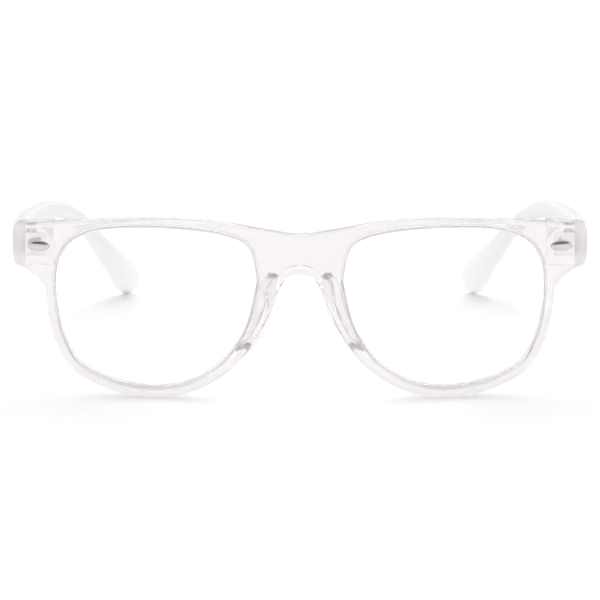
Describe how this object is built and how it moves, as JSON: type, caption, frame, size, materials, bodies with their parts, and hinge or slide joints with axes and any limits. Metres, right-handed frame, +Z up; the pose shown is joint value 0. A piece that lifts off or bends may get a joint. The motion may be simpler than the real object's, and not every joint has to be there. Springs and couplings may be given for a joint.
{
  "type": "eyeglasses",
  "caption": "Children's spectacles: a clear moulded front with nose pads and clear lenses, and frosted temples that fold on small metal hinges.",
  "frame": {"origin": "under the middle of the open spectacles' bounding box, on the surface that the rims and the temple tips stand on", "axes": "+X across the front towards the wearer's left, +Y back along the open temples, +Z up; the front looks along -Y"},
  "size_m": [0.126, 0.1178, 0.04],
  "materials": {
    "clear_plastic": "clear moulded plastic with a faint pink tint, polished",
    "lens": "clear coated lens",
    "frosted_plastic": "pale translucent plastic, satin",
    "hinge_metal": "tumbled nickel silver",
    "chrome_trim": "polished"
  },
  "bodies": {
    "front": {"front_frame": "clear_plastic", "left_lens": "lens", "right_lens": "lens", "left_front_hinge": "hinge_metal", "right_front_hinge": "hinge_metal", "left_hinge_screw": "hinge_metal", "right_hinge_screw": "hinge_metal", "left_trim_stud": "chrome_trim", "right_trim_stud": "chrome_trim"},
    "left_arm": {"left_temple": "frosted_plastic", "left_temple_hinge": "hinge_metal"},
    "right_arm": {"right_temple": "frosted_plastic", "right_temple_hinge": "hinge_metal"}
  },
  "joints": [
    {"name": "left_temple_fold", "type": "hinge", "parent": "front", "child": "left_arm", "pos_m": [0.0586, -0.04638, 0.03305], "axis": [0, 0, 1], "range_deg": [0, 82]},
    {"name": "right_temple_fold", "type": "hinge", "parent": "front", "child": "right_arm", "pos_m": [-0.0586, -0.04638, 0.03305], "axis": [0, 0, -1], "range_deg": [0, 75]}
  ]
}
